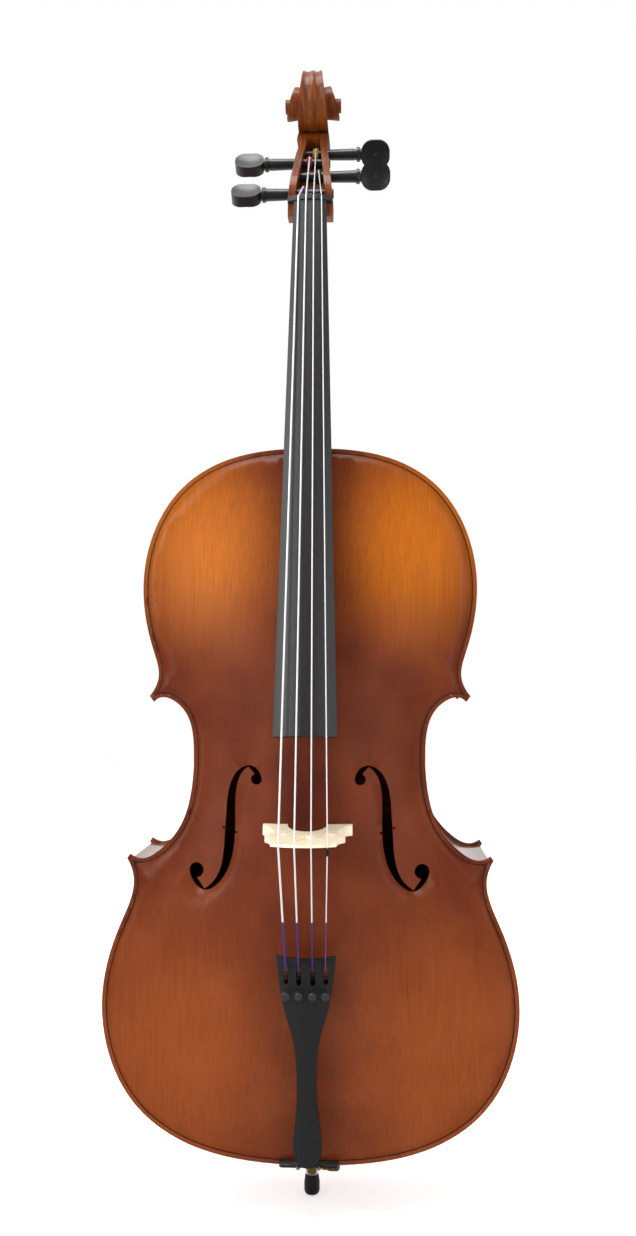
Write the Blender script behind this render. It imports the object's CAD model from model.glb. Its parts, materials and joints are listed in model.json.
import json
import math

import bmesh
import bpy
from mathutils import Matrix, Vector

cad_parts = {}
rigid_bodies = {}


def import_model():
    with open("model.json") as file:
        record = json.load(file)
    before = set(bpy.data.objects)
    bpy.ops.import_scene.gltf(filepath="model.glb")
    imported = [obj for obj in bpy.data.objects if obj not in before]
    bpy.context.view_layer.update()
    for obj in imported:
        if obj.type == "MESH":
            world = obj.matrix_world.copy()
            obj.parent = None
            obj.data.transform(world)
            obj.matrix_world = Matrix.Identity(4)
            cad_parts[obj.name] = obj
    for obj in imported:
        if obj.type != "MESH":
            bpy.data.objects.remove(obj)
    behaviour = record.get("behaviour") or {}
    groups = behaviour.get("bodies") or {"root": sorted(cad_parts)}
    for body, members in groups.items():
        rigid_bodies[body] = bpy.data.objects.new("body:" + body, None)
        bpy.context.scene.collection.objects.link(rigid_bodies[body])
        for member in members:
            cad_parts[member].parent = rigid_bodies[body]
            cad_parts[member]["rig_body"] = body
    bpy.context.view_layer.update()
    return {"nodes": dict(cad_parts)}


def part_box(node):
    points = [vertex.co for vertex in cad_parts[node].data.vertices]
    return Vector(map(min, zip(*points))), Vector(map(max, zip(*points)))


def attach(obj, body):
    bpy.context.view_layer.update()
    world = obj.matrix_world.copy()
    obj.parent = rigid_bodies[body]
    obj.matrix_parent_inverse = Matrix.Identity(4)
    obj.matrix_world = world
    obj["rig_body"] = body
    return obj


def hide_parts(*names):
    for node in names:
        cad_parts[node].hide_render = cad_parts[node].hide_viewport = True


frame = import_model()

# ---- Camera, floor and light ------------------------------------------------------
# A cello standing upright on its endpin in a white studio, seen from the front,
# a little to the treble side and from half its height, under broad soft light.
camera_place = (0.0663, -1.2528, 0.5648)
camera_turn = math.radians(2.73)
camera_rise = math.radians(2.97)
camera_lens = 32.6
camera_film = 36.0
camera_data = bpy.data.cameras.new("camera")
camera_data.sensor_fit = "VERTICAL"
camera_data.sensor_height = camera_film
camera_data.lens = camera_lens
camera = bpy.data.objects.new("camera", camera_data)
bpy.context.scene.collection.objects.link(camera)
camera.location = camera_place
camera.rotation_euler = (math.pi / 2 + camera_rise, 0.0, camera_turn)
bpy.context.scene.camera = camera
bpy.context.scene.view_settings.view_transform = "Standard"


def linear(code):
    """An sRGB hex colour as linear RGBA."""
    channels = [int(code[i:i + 2], 16) / 255 for i in (1, 3, 5)]
    return [c / 12.92 if c <= 0.04045 else ((c + 0.055) / 1.055) ** 2.4 for c in channels] + [1.0]


def add_node(tree, kind, inputs=None, **settings):
    """Add a shader or geometry node with its settings and its values or links."""
    made = tree.nodes.new(kind)
    for key, value in settings.items():
        setattr(made, key, value)
    for key, value in (inputs or {}).items():
        if isinstance(value, bpy.types.NodeSocket):
            tree.links.new(value, made.inputs[key])
        else:
            made.inputs[key].default_value = value
    return made


def start_material(name, **sockets):
    """A principled material with its fixed socket values, its tree and Object coordinates."""
    material = bpy.data.materials.new(name)
    material.use_nodes = True
    tree = material.node_tree
    surface = tree.nodes["Principled BSDF"]
    for key, value in sockets.items():
        surface.inputs[key.replace("_", " ")].default_value = value
    place = add_node(tree, "ShaderNodeTexCoord").outputs["Object"]
    return material, tree, surface, place


# The room is plain white to the camera. Its light is full behind the instrument and
# weak in front of it, so that the varnish keeps its depth.
studio = bpy.data.worlds.new("studio")
studio.use_nodes = True
room = studio.node_tree
room_way = add_node(room, "ShaderNodeSeparateXYZ", {
    "Vector": add_node(room, "ShaderNodeTexCoord").outputs["Generated"],
})
room_depth = add_node(room, "ShaderNodeMapRange", {
    "Value": room_way.outputs["Y"], "From Min": -0.15, "From Max": 0.35, "To Min": 0.15,
    "To Max": 1.0,
}, interpolation_type="SMOOTHSTEP")
room_seen = add_node(room, "ShaderNodeMath", {
    0: room_depth.outputs["Result"], 1: add_node(room, "ShaderNodeLightPath").outputs["Is Camera Ray"],
}, operation="MAXIMUM")
room_light = room.nodes["Background"]
room_light.inputs["Color"].default_value = (1, 1, 1, 1)
room.links.new(room_seen.outputs[0], room_light.inputs["Strength"])
bpy.context.scene.world = studio
floor_half = 6
floor_corners = [(-floor_half, -floor_half, 0), (floor_half, -floor_half, 0),
                 (floor_half, floor_half, 0), (-floor_half, floor_half, 0)]
floor_mesh = bpy.data.meshes.new("floor")
floor_mesh.from_pydata(floor_corners, [], [(0, 1, 2, 3)])
floor = bpy.data.objects.new("floor", floor_mesh)
bpy.context.scene.collection.objects.link(floor)
floor_paint, tree, surface, place = start_material("floor_paper", Roughness=0.9)
surface.inputs["Base Color"].default_value = (0.9, 0.9, 0.9, 1)
surface.inputs["Emission Color"].default_value = (1, 1, 1, 1)
surface.inputs["Emission Strength"].default_value = 0.55
floor_mesh.materials.append(floor_paint)
floor.visible_glossy = False
lamp_target = Vector((0, 0, 0.65))
for name, spot, size, power in (
    ("softbox_left", (-2.3, -2.3, 1.9), 2.4, 66.0),
    ("softbox_right", (2.3, -2.2, 1.4), 2.4, 24.0),
    ("softbox_top", (-0.3, -0.7, 3.0), 1.4, 46.0),
):
    lamp_data = bpy.data.lights.new(name, "AREA")
    lamp_data.size = size
    lamp_data.energy = power
    lamp = bpy.data.objects.new(name, lamp_data)
    bpy.context.scene.collection.objects.link(lamp)
    lamp.location = spot
    aim = lamp_target - Vector(spot)
    lamp.rotation_euler = aim.to_track_quat("-Z", "Y").to_euler()

# ---- Ribs, back and linings -------------------------------------------------------
# Thin maple strips bent to the outline, and an arched maple back in two halves.
# Flamed maple under a red-brown oil varnish: stripes across the grain, and gloss.
# The colour sockets of a Mix node are reached by number, since their names repeat.
mix_below = 6
mix_above = 7
mix_result = 2


def varnished_maple(name, deep, light, stripe_mm, stripe_axis, gloss=0.6):
    """Flamed maple under varnish, with its stripes square to the given axis."""
    material, tree, surface, place = start_material(
        name, Roughness=0.5, Specular_IOR_Level=0.2, Coat_Weight=gloss,
        Coat_Roughness=0.2 - 0.1 * gloss, Coat_IOR=1.5
    )
    along_stripe = 0.12
    stretch = [along_stripe, along_stripe, along_stripe]
    stretch[stripe_axis] = 1.0
    squeezed = add_node(tree, "ShaderNodeMapping", {"Vector": place, "Scale": stretch})
    flame = add_node(tree, "ShaderNodeTexNoise", {
        "Vector": squeezed.outputs["Vector"], "Scale": 1000.0 / stripe_mm, "Detail": 3.0,
        "Roughness": 0.55, "Distortion": 0.4,
    })
    grain = add_node(tree, "ShaderNodeTexNoise", {
        "Vector": place, "Scale": 900.0, "Detail": 2.0,
    })
    ramp = add_node(tree, "ShaderNodeMapRange", {
        "Value": flame.outputs["Fac"], "From Min": 0.22, "From Max": 0.78,
    })
    colour = add_node(tree, "ShaderNodeMix", {
        "Factor": ramp.outputs["Result"], mix_below: linear(deep), mix_above: linear(light),
    }, data_type="RGBA")
    tree.links.new(colour.outputs[mix_result], surface.inputs["Base Color"])
    bump = add_node(tree, "ShaderNodeBump", {
        "Height": grain.outputs["Fac"], "Strength": 0.08, "Distance": 0.0004,
    })
    tree.links.new(bump.outputs["Normal"], surface.inputs["Normal"])
    return material


maple_ribs = varnished_maple("maple_ribs", "#64270c", "#8f451a", stripe_mm=9.0, stripe_axis=2, gloss=1.0)
maple_back = varnished_maple("maple_back", "#5c2409", "#934a18", stripe_mm=11.0, stripe_axis=2)
maple_head = varnished_maple("maple_head", "#451902", "#8a450c", stripe_mm=3.0, stripe_axis=0, gloss=0.3)


def dressed_copy(node, material, crease=32.0, round_off=0.0):
    """A merged, smooth-shaded copy of a CAD node, in its material, that stands for the node."""
    merge_reach = 0.000004
    sliver_reach = 0.000002
    mesh = frame["nodes"][node].data.copy()
    mesh.materials.clear()
    mesh.materials.append(material)
    work = bmesh.new()
    work.from_mesh(mesh)
    bmesh.ops.remove_doubles(work, verts=work.verts, dist=merge_reach)
    bmesh.ops.dissolve_degenerate(work, edges=work.edges, dist=sliver_reach)
    work.to_mesh(mesh)
    work.free()
    for face in mesh.polygons:
        face.material_index = 0
    mesh.shade_smooth()
    mesh.set_sharp_from_angle(angle=math.radians(crease))
    piece = bpy.data.objects.new(node + "_look", mesh)
    bpy.context.scene.collection.objects.link(piece)
    if round_off:
        edge = piece.modifiers.new("edge", "BEVEL")
        edge.width = round_off
        edge.segments = 3
        edge.limit_method = "ANGLE"
        edge.angle_limit = math.radians(40)
        edge.harden_normals = False
    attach(piece, frame["nodes"][node]["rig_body"])
    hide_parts(node)


for part in ("lower", "waist", "upper"):
    for side in ("bass", "treble"):
        dressed_copy(part + "_rib_" + side, maple_ribs)
for side in ("bass", "treble"):
    dressed_copy("back_plate_" + side + "_half", maple_back)

# ---- Blocks, linings, bass bar and sound post -------------------------------------
# Pieces sawn or bent from plain spruce and glued inside the body; the sound post is
# wedged in. They are left unvarnished: pale and dry, with fine growth rings.
raw_spruce, tree, surface, place = start_material("raw_spruce", Roughness=0.75)
rings = add_node(tree, "ShaderNodeTexWave", {
    "Vector": place, "Scale": 90.0, "Distortion": 1.5, "Detail": 2.0,
}, bands_direction="X")
ring_ramp = add_node(tree, "ShaderNodeValToRGB", {"Fac": rings.outputs["Fac"]})
ring_ramp.color_ramp.elements[0].color = linear("#c9a36c")
ring_ramp.color_ramp.elements[1].color = linear("#e3cfa0")
tree.links.new(ring_ramp.outputs["Color"], surface.inputs["Base Color"])
for node in ("neck_block", "end_block", "linings_top", "linings_back", "bass_bar", "sound_post",
             "corner_block_lower_bass", "corner_block_lower_treble",
             "corner_block_upper_bass", "corner_block_upper_treble"):
    dressed_copy(node, raw_spruce)

# ---- Front plate ------------------------------------------------------------------
# Two halves of fine spruce, carved to an arch, with f-holes, under a shaded varnish:
# gold in the bouts, dark red-brown at the waist and along the middle.
varnished_spruce, tree, surface, place = start_material(
    "varnished_spruce", Roughness=0.5, Specular_IOR_Level=0.1, Coat_Weight=0.4,
    Coat_Roughness=0.34, Coat_IOR=1.45
)
axes = add_node(tree, "ShaderNodeSeparateXYZ", {"Vector": place})
side_way = add_node(tree, "ShaderNodeMath", {0: axes.outputs["X"]}, operation="ABSOLUTE")


def pocket(centre_x, centre_z, reach_x, reach_z, inner):
    """1 at the middle of a pair of soft oval pockets of colour, falling to 0 outside."""
    across = add_node(tree, "ShaderNodeMath", {0: side_way.outputs[0], 1: centre_x}, operation="SUBTRACT")
    across = add_node(tree, "ShaderNodeMath", {0: across.outputs[0], 1: reach_x}, operation="DIVIDE")
    along = add_node(tree, "ShaderNodeMath", {0: axes.outputs["Z"], 1: centre_z}, operation="SUBTRACT")
    along = add_node(tree, "ShaderNodeMath", {0: along.outputs[0], 1: reach_z}, operation="DIVIDE")
    spread = add_node(tree, "ShaderNodeCombineXYZ", {"X": across.outputs[0], "Y": along.outputs[0]})
    reach = add_node(tree, "ShaderNodeVectorMath", {0: spread.outputs[0]}, operation="LENGTH")
    fade = add_node(tree, "ShaderNodeMapRange", {
        "Value": reach.outputs["Value"], "From Min": inner, "From Max": 1.0, "To Min": 1.0,
        "To Max": 0.0,
    }, interpolation_type="SMOOTHSTEP")
    return fade.outputs["Result"]


mottle = add_node(tree, "ShaderNodeTexNoise", {"Vector": place, "Scale": 16.0, "Detail": 3.0})
upper_gold = add_node(tree, "ShaderNodeMix", {
    "Factor": pocket(centre_x=0.110, centre_z=0.705, reach_x=0.115, reach_z=0.15, inner=0.05),
    mix_below: linear("#662405"),
    mix_above: linear("#c06602"),
}, data_type="RGBA")
lower_gold = add_node(tree, "ShaderNodeMix", {
    "Factor": pocket(centre_x=0.135, centre_z=0.17, reach_x=0.17, reach_z=0.21, inner=0.1),
    mix_below: upper_gold.outputs[mix_result],
    mix_above: linear("#904103"),
}, data_type="RGBA")
dark_middle = add_node(tree, "ShaderNodeMix", {
    "Factor": pocket(centre_x=0.0, centre_z=0.455, reach_x=0.05, reach_z=0.12, inner=0.3),
    mix_below: lower_gold.outputs[mix_result],
    mix_above: linear("#4a0d00"),
}, data_type="RGBA")
dark_waist = add_node(tree, "ShaderNodeMix", {
    "Factor": pocket(centre_x=0.175, centre_z=0.40, reach_x=0.05, reach_z=0.09, inner=0.0),
    mix_below: dark_middle.outputs[mix_result],
    mix_above: linear("#5a1800"),
}, data_type="RGBA")
grain_place = add_node(tree, "ShaderNodeMapping", {"Vector": place, "Scale": (1.0, 1.0, 0.02)})
grain = add_node(tree, "ShaderNodeTexNoise", {
    "Vector": grain_place.outputs["Vector"], "Scale": 620.0, "Detail": 2.0, "Roughness": 0.6,
})
grain_dark = add_node(tree, "ShaderNodeMapRange", {
    "Value": grain.outputs["Fac"], "From Min": 0.35, "From Max": 0.7, "To Min": 0.0, "To Max": 0.28,
})
grained = add_node(tree, "ShaderNodeMix", {
    "Factor": grain_dark.outputs["Result"], mix_below: dark_waist.outputs[mix_result],
    mix_above: linear("#3c1206"),
}, data_type="RGBA")
mottle_share = add_node(tree, "ShaderNodeMapRange", {
    "Value": mottle.outputs["Fac"], "From Min": 0.35, "From Max": 0.7, "To Min": 0.0, "To Max": 0.22,
})
mottled = add_node(tree, "ShaderNodeMix", {
    "Factor": mottle_share.outputs["Result"], mix_below: grained.outputs[mix_result],
    mix_above: linear("#a3511f"),
}, data_type="RGBA")
tree.links.new(mottled.outputs[mix_result], surface.inputs["Base Color"])
grain_bump = add_node(tree, "ShaderNodeBump", {
    "Height": grain.outputs["Fac"], "Strength": 0.10, "Distance": 0.0005,
})
tree.links.new(grain_bump.outputs["Normal"], surface.inputs["Normal"])
for side in ("bass", "treble"):
    dressed_copy("top_plate_" + side + "_half", varnished_spruce)

# ---- Purfling ---------------------------------------------------------------------
# A thin band of veneer, dyed dark, bent and let into a groove near the edge of the
# front and of the back.
purfling_wood, tree, surface, place = start_material("purfling_wood", Roughness=0.4)
surface.inputs["Base Color"].default_value = linear("#2a1208")
for node in ("purfling_top", "purfling_back"):
    dressed_copy(node, purfling_wood)

# ---- Neck, pegbox and scroll ------------------------------------------------------
# One piece of maple, carved with gouges, flamed and varnished like the ribs. The
# volute's edge face has two shallow flutes, laid here over the plain CAD face.
dressed_copy("neck_and_scroll", maple_head, crease=40.0, round_off=0.0007)
eye_y = 0.026
eye_z = 1.232
back_radius = 0.045
turn_ratio = 0.54
ridge_height = 0.0013
ridge_sharpness = 1.3
strip_lift = 0.0002
strip_sink = 0.0006


def fluted_band(name, first_turn, last_turn, low_z, low_half, high_z, high_half):
    """A carved strip along the volute's edge face: two flutes between three low ridges."""
    steps = 72
    across = 32
    points = []
    for i in range(steps + 1):
        turn = first_turn + (last_turn - first_turn) * i / steps
        radius = back_radius * turn_ratio**turn
        bearing = 2 * math.pi * turn
        z = eye_z + radius * math.sin(bearing)
        share = min(max((z - low_z) / (high_z - low_z), 0.0), 1.0)
        half = low_half + (high_half - low_half) * share - strip_lift
        for j in range(-1, across + 2):
            u = min(max(2 * j / across - 1, -1.0), 1.0)
            ridge = 0.5 + 0.5 * math.cos(2 * math.pi * u)
            rise = strip_lift + ridge_height * ridge**ridge_sharpness
            if j in (-1, across + 1):
                rise = -strip_sink
            reach = radius + rise
            points.append((u * half, eye_y + reach * math.cos(bearing), eye_z + reach * math.sin(bearing)))
    row = across + 3
    faces = [(i * row + j, i * row + j + 1, (i + 1) * row + j + 1, (i + 1) * row + j)
             for i in range(steps) for j in range(row - 1)]
    mesh = bpy.data.meshes.new(name)
    mesh.from_pydata(points, [], faces)
    work = bmesh.new()
    work.from_mesh(mesh)
    bmesh.ops.recalc_face_normals(work, faces=work.faces)
    work.faces.ensure_lookup_table()
    middle_face = work.faces[len(faces) // 2]
    middle = middle_face.calc_center_median()
    outward = Vector((0, middle.y - eye_y, middle.z - eye_z))
    if middle_face.normal.dot(outward) < 0:
        bmesh.ops.reverse_faces(work, faces=work.faces)
    work.to_mesh(mesh)
    work.free()
    mesh.materials.append(maple_head)
    mesh.shade_smooth()
    mesh.set_sharp_from_angle(angle=math.radians(50))
    strip = bpy.data.objects.new(name, mesh)
    bpy.context.scene.collection.objects.link(strip)
    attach(strip, "instrument")


fluted_band("scroll_first_turn", first_turn=0.0, last_turn=0.79, low_z=1.190, low_half=0.019,
            high_z=1.271, high_half=0.0103)
fluted_band("scroll_second_turn", first_turn=1.0, last_turn=1.79, low_z=1.216, low_half=0.031,
            high_z=1.253, high_half=0.0195)

# ---- Fingerboard, nut and saddle --------------------------------------------------
# Fingerboard, nut and saddle are planed and scraped from ebony, then oiled; the endpin
# plug is turned from it. Near black, with a fine streak and a soft sheen.
ebony, tree, surface, place = start_material("ebony", Roughness=0.42, Coat_Weight=0.15,
                                             Coat_Roughness=0.3)
streak_place = add_node(tree, "ShaderNodeMapping", {"Vector": place, "Scale": (1.0, 1.0, 0.03)})
streak = add_node(tree, "ShaderNodeTexNoise", {
    "Vector": streak_place.outputs["Vector"], "Scale": 500.0, "Detail": 2.0,
})
streak_ramp = add_node(tree, "ShaderNodeValToRGB", {"Fac": streak.outputs["Fac"]})
streak_ramp.color_ramp.elements[0].color = linear("#161414")
streak_ramp.color_ramp.elements[1].color = linear("#2b2827")
tree.links.new(streak_ramp.outputs["Color"], surface.inputs["Base Color"])
for node in ("fingerboard", "nut", "saddle", "endpin_plug"):
    dressed_copy(node, ebony, round_off=0.0006)

# ---- Bridge -----------------------------------------------------------------------
# Sawn from plain maple and cut thin at the top; the strings hold it on the front.
# Unvarnished and pale, with short flecks.
bridge_maple, tree, surface, place = start_material("bridge_maple", Roughness=0.6)
fleck_place = add_node(tree, "ShaderNodeMapping", {"Vector": place, "Scale": (0.25, 1.0, 1.0)})
fleck = add_node(tree, "ShaderNodeTexNoise", {
    "Vector": fleck_place.outputs["Vector"], "Scale": 420.0, "Detail": 2.0,
})
fleck_ramp = add_node(tree, "ShaderNodeValToRGB", {"Fac": fleck.outputs["Fac"]})
fleck_ramp.color_ramp.elements[0].color = linear("#f3dfb4")
fleck_ramp.color_ramp.elements[0].position = 0.3
fleck_ramp.color_ramp.elements[1].color = linear("#fff3da")
fleck_ramp.color_ramp.elements[1].position = 0.6
tree.links.new(fleck_ramp.outputs["Color"], surface.inputs["Base Color"])
dressed_copy("bridge", bridge_maple, round_off=0.0005)

# ---- Tailpiece, fine tuners and tail cord -----------------------------------------
# The tailpiece is moulded in black plastic with a fine matt texture. Its four tuners
# are bronze-coloured levers with black screws, on one steel pin. The cord is nylon.
tail_plastic, tree, surface, place = start_material("tail_plastic", Roughness=0.5)
speckle = add_node(tree, "ShaderNodeTexNoise", {"Vector": place, "Scale": 1100.0, "Detail": 1.0})
speckle_ramp = add_node(tree, "ShaderNodeValToRGB", {"Fac": speckle.outputs["Fac"]})
speckle_ramp.color_ramp.elements[0].color = linear("#0f0f10")
speckle_ramp.color_ramp.elements[1].color = linear("#262628")
tree.links.new(speckle_ramp.outputs["Color"], surface.inputs["Base Color"])
plastic_bump = add_node(tree, "ShaderNodeBump", {
    "Height": speckle.outputs["Fac"], "Strength": 0.25, "Distance": 0.0002,
})
tree.links.new(plastic_bump.outputs["Normal"], surface.inputs["Normal"])
dressed_copy("tailpiece", tail_plastic, round_off=0.0009)
tuner_steel, tree, surface, place = start_material("tuner_steel", Metallic=1.0, Roughness=0.28)
surface.inputs["Base Color"].default_value = linear("#b9b3a6")
lever_bronze, tree, surface, place = start_material("lever_bronze", Metallic=0.8, Roughness=0.35)
surface.inputs["Base Color"].default_value = linear("#5a4526")
tuner_black, tree, surface, place = start_material("tuner_black", Roughness=0.42, Coat_Weight=0.3)
surface.inputs["Base Color"].default_value = linear("#303032")
dressed_copy("fine_tuner_pin", tuner_steel)
for name in "cgda":
    dressed_copy("fine_tuner_lever_" + name, lever_bronze, round_off=0.0003)
    dressed_copy("fine_tuner_screw_" + name, tuner_black, round_off=0.0004)
cord_nylon, tree, surface, place = start_material("cord_nylon", Roughness=0.25, Coat_Weight=0.5,
                                                  Coat_Roughness=0.1)
surface.inputs["Base Color"].default_value = linear("#101011")
dressed_copy("tail_cord", cord_nylon)

# ---- Strings ----------------------------------------------------------------------
# Steel rope cores wound with bright flat wire; dyed silk is wound over the tail end,
# up to a little way below the bridge. A short rubber sleeve rides on the A string
# close to the bridge.
silk_below_bridge = 0.077
silk_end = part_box("bridge")[0].z - silk_below_bridge
silk_colours = {"c": "#41378a", "g": "#3d3484", "d": "#3b3380", "a": "#5b4685"}
for name in "cgda":
    wound, tree, surface, place = start_material(
        "wound_string_" + name, Metallic=0.3, Roughness=0.38
    )
    axes = add_node(tree, "ShaderNodeSeparateXYZ", {"Vector": place})
    on_silk = add_node(tree, "ShaderNodeMath", {0: axes.outputs["Z"], 1: silk_end},
                       operation="LESS_THAN")
    turns = add_node(tree, "ShaderNodeTexWave", {
        "Vector": place, "Scale": 260.0, "Distortion": 0.0,
    }, bands_direction="Z")
    wire = add_node(tree, "ShaderNodeMix", {
        "Factor": turns.outputs["Fac"], mix_below: linear("#dfe0e2"), mix_above: linear("#ffffff"),
    }, data_type="RGBA")
    covered = add_node(tree, "ShaderNodeMix", {
        "Factor": on_silk.outputs[0], mix_below: wire.outputs[mix_result],
        mix_above: linear(silk_colours[name]),
    }, data_type="RGBA")
    tree.links.new(covered.outputs[mix_result], surface.inputs["Base Color"])
    dressed_copy("string_" + name, wound, crease=60.0)
sleeve_rubber, tree, surface, place = start_material("sleeve_rubber", Roughness=0.6)
surface.inputs["Base Color"].default_value = linear("#15110f")
dressed_copy("string_sleeve", sleeve_rubber)

# ---- Pegs -------------------------------------------------------------------------
# Turned from hardwood, with flat scooped heads, and stained black. Handling has
# polished them to a dull shine.
peg_wood, tree, surface, place = start_material("peg_wood", Roughness=0.36, Coat_Weight=0.25,
                                                Coat_Roughness=0.25)
peg_place = add_node(tree, "ShaderNodeMapping", {"Vector": place, "Scale": (0.05, 1.0, 1.0)})
peg_grain = add_node(tree, "ShaderNodeTexNoise", {
    "Vector": peg_place.outputs["Vector"], "Scale": 520.0, "Detail": 2.0,
})
peg_ramp = add_node(tree, "ShaderNodeValToRGB", {"Fac": peg_grain.outputs["Fac"]})
peg_ramp.color_ramp.elements[0].color = linear("#0d0c0c")
peg_ramp.color_ramp.elements[1].color = linear("#1f1d1c")
tree.links.new(peg_ramp.outputs["Color"], surface.inputs["Base Color"])
for name in "cgda":
    dressed_copy("peg_" + name, peg_wood, round_off=0.0012)

# ---- String turns on the pegs -----------------------------------------------------
# The silk-covered end of each string, wound tightly side by side round its peg.
# One tree winds a round cord into a helix of the size it is given.
cord_thickness = 0.0016
turn_colours = {"c": "#5b2a86", "g": "#a3121a", "d": "#b89a1e", "a": "#1c1a20"}
winder = bpy.data.node_groups.new("silk_winder", "GeometryNodeTree")
winder.interface.new_socket("Geometry", in_out="OUTPUT", socket_type="NodeSocketGeometry")
winder_inputs = {}
for label, kind in (
    ("Turn Radius", "NodeSocketFloat"), ("Length", "NodeSocketFloat"), ("Turns", "NodeSocketFloat"),
    ("Cord Radius", "NodeSocketFloat"), ("Silk", "NodeSocketMaterial"),
):
    winder_inputs[label] = winder.interface.new_socket(label, in_out="INPUT", socket_type=kind).identifier
given = winder.nodes.new("NodeGroupInput").outputs
helix = add_node(winder, "GeometryNodeCurveSpiral", {
    "Resolution": 40, "Rotations": given["Turns"], "Start Radius": given["Turn Radius"],
    "End Radius": given["Turn Radius"], "Height": given["Length"],
})
cord = add_node(winder, "GeometryNodeCurvePrimitiveCircle", {
    "Resolution": 12, "Radius": given["Cord Radius"],
})
wound_cord = add_node(winder, "GeometryNodeCurveToMesh", {
    "Curve": helix.outputs[0], "Profile Curve": cord.outputs[0], "Fill Caps": True,
})
smooth_cord = add_node(winder, "GeometryNodeSetShadeSmooth", {"Geometry": wound_cord.outputs[0]})
whole_cord = add_node(winder, "GeometryNodeRealizeInstances", {"Geometry": smooth_cord.outputs[0]})
silk_cord = add_node(winder, "GeometryNodeSetMaterial", {
    "Geometry": whole_cord.outputs[0], "Material": given["Silk"],
})
add_node(winder, "NodeGroupOutput", {"Geometry": silk_cord.outputs[0]})
for name in "cgda":
    silk, tree, surface, place = start_material("silk_turns_" + name, Roughness=0.7)
    surface.inputs["Base Color"].default_value = linear(turn_colours[name])
    low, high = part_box("string_winding_" + name)
    centre = (low + high) / 2
    length = high.x - low.x - cord_thickness
    winding = bpy.data.objects.new("winding", bpy.data.meshes.new("winding"))
    bpy.context.scene.collection.objects.link(winding)
    turns = winding.modifiers.new("turns", "NODES")
    turns.node_group = winder
    turns[winder_inputs["Turn Radius"]] = (high.z - low.z - cord_thickness) / 2
    turns[winder_inputs["Length"]] = length
    turns[winder_inputs["Turns"]] = length / cord_thickness
    turns[winder_inputs["Cord Radius"]] = cord_thickness / 2
    turns[winder_inputs["Silk"]] = silk
    bpy.context.view_layer.update()
    wound = bpy.data.meshes.new_from_object(winding.evaluated_get(bpy.context.evaluated_depsgraph_get()))
    bpy.data.objects.remove(winding)
    wound.transform(Matrix.Translation((low.x + cord_thickness / 2, centre.y, centre.z))
                    @ Matrix.Rotation(math.pi / 2, 4, "Y"))
    piece = bpy.data.objects.new("string_winding_" + name + "_look", wound)
    bpy.context.scene.collection.objects.link(piece)
    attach(piece, "peg_" + name)
    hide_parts("string_winding_" + name)

# ---- Endpin -----------------------------------------------------------------------
# A steel rod that slides in a turned brass collar and is held by a brass thumb screw.
# A steel ferrule and a rubber foot close its lower end.
turned_brass, tree, surface, place = start_material("turned_brass", Metallic=1.0, Roughness=0.22)
surface.inputs["Base Color"].default_value = linear("#c9a757")
rod_steel, tree, surface, place = start_material("rod_steel", Metallic=1.0, Roughness=0.2)
surface.inputs["Base Color"].default_value = linear("#c8c8cc")
foot_rubber, tree, surface, place = start_material("foot_rubber", Roughness=0.62)
surface.inputs["Base Color"].default_value = linear("#0d0b0b")
dressed_copy("endpin_collar", turned_brass, round_off=0.0004)
dressed_copy("thumb_screw", turned_brass, round_off=0.0006)
dressed_copy("endpin_rod", rod_steel)
dressed_copy("endpin_ferrule", rod_steel, round_off=0.0003)
dressed_copy("endpin_tip", foot_rubber)
